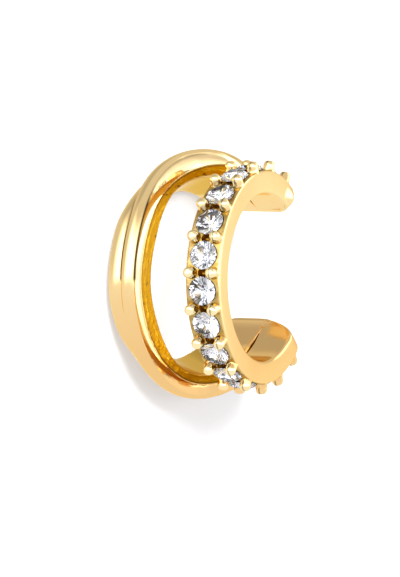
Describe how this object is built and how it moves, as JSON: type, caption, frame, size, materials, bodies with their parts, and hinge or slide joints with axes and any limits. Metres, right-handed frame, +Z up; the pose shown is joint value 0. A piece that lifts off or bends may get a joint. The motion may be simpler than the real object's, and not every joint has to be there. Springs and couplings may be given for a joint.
{
  "type": "ear cuff",
  "caption": "Open C-shaped ear cuff of gold-plated metal: a prong-set crystal band and a fluted polished band that part round a lens-shaped gap and join at both ends.",
  "frame": {"origin": "on the surface the cuff lies on, under the middle of its bounding box", "axes": "+Z up, with the crystal band on top and the polished band below, +Y out through the opening, +X towards the end that is the lower one when the cuff is worn"},
  "size_m": [0.0122, 0.0108, 0.0058],
  "materials": {
    "gold_plate": "mirror-polished gold plate, left as cast on the polished band's inner side wall",
    "crystal": "clear faceted crystal"
  },
  "bodies": {
    "root": {"gold_cuff": "gold_plate", "crystal_01": "crystal", "crystal_02": "crystal", "crystal_03": "crystal", "crystal_04": "crystal", "crystal_05": "crystal", "crystal_06": "crystal", "crystal_07": "crystal", "crystal_08": "crystal", "crystal_09": "crystal", "crystal_10": "crystal", "crystal_11": "crystal", "crystal_12": "crystal", "crystal_13": "crystal"}
  },
  "joints": []
}
